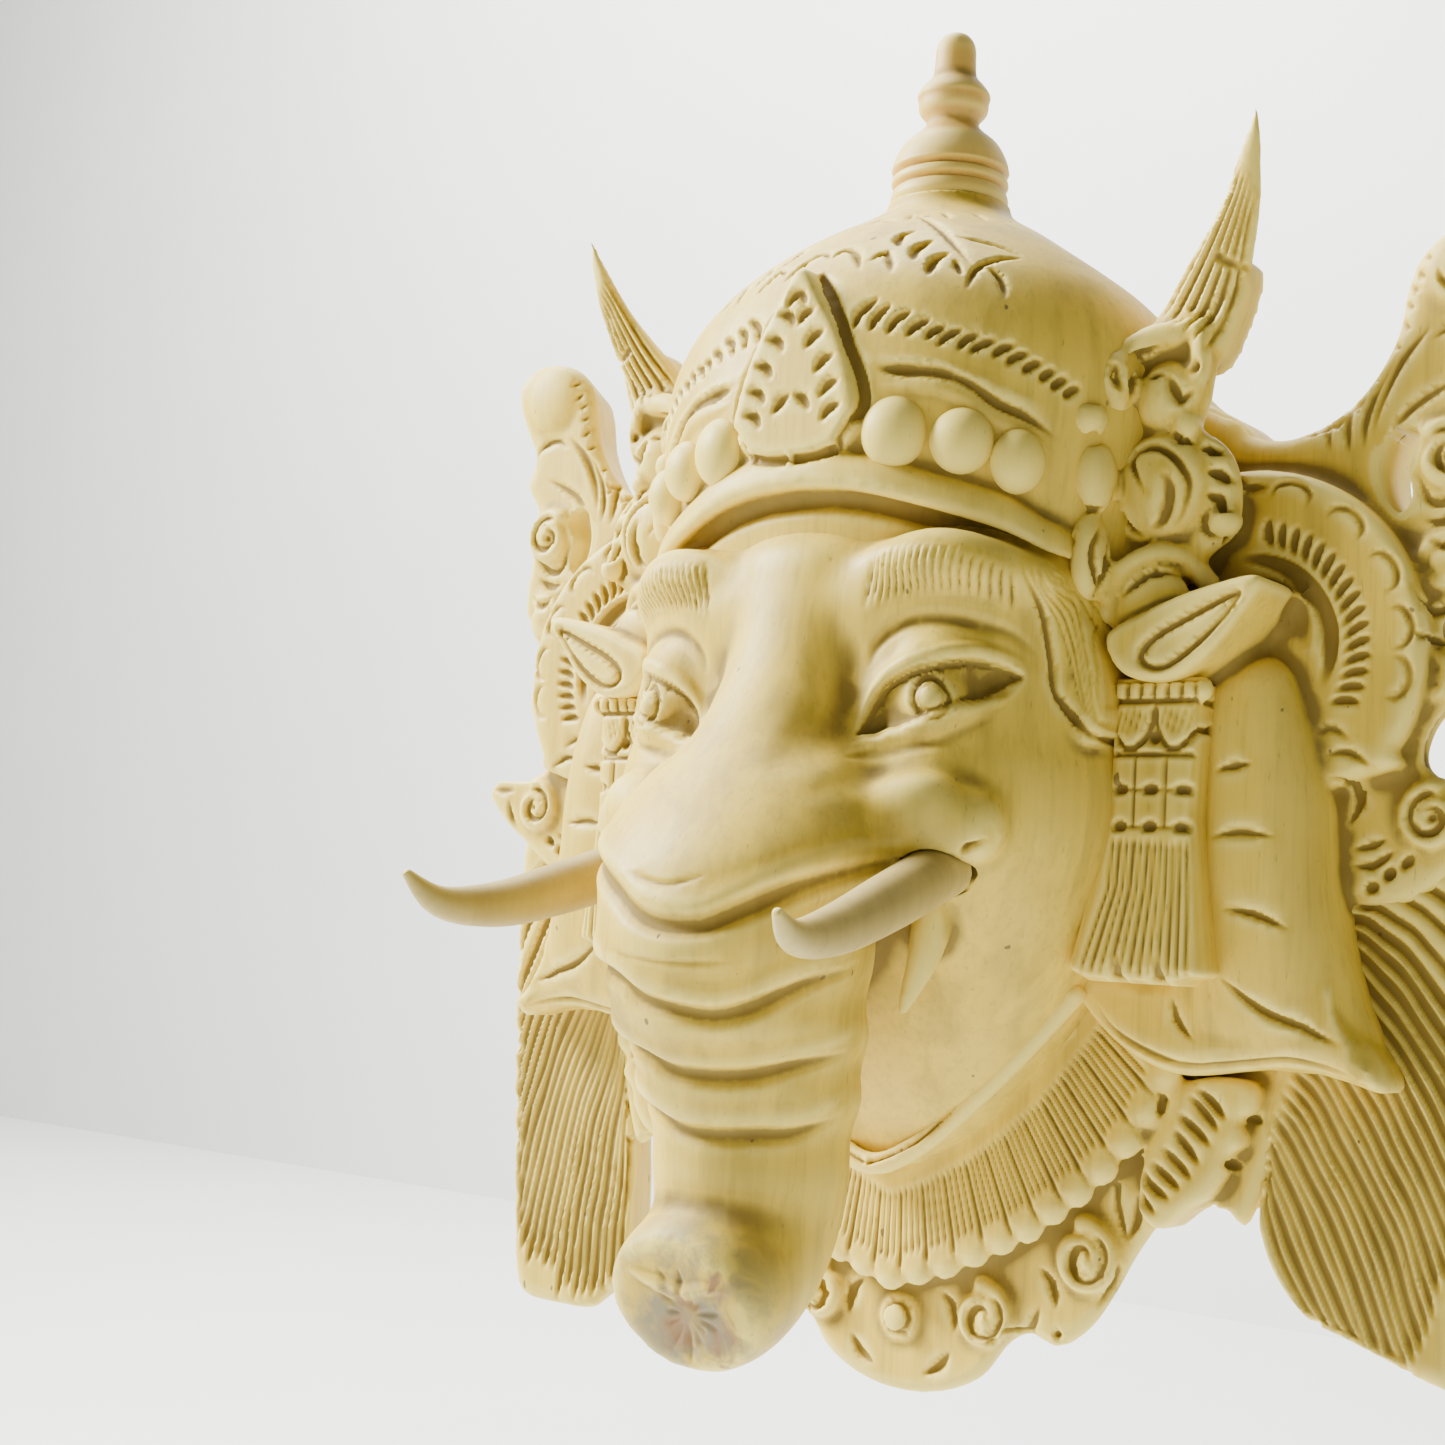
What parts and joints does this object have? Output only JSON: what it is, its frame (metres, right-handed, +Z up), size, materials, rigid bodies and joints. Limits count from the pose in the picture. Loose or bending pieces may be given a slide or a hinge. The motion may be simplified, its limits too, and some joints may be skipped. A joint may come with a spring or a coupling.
{
  "type": "wall mask",
  "caption": "Hand-carved wooden elephant-head wall mask with a domed crown, scrolled ear wings, pleated collar, combed manes, curved tusks and a turned finial; flat, hollowed back.",
  "frame": {"origin": "on the flat back, on the centre line, 13 mm below the mouth of the hole that the mask hangs by", "axes": "+Z up as it hangs, +Y into the wall, so the face looks along -Y, and +X to the right of someone who looks at it"},
  "size_m": [0.3515, 0.1801, 0.4002],
  "materials": {
    "carved_wood": "bare pale wood, finely tooled, unvarnished",
    "finial_wood": "turned, smooth, warmer yellow",
    "tusk_wood": "scraped smooth, tan to olive"
  },
  "bodies": {
    "root": {"mask_body": "carved_wood", "finial": "finial_wood", "tusk_left": "tusk_wood", "tusk_right": "tusk_wood"}
  },
  "joints": []
}
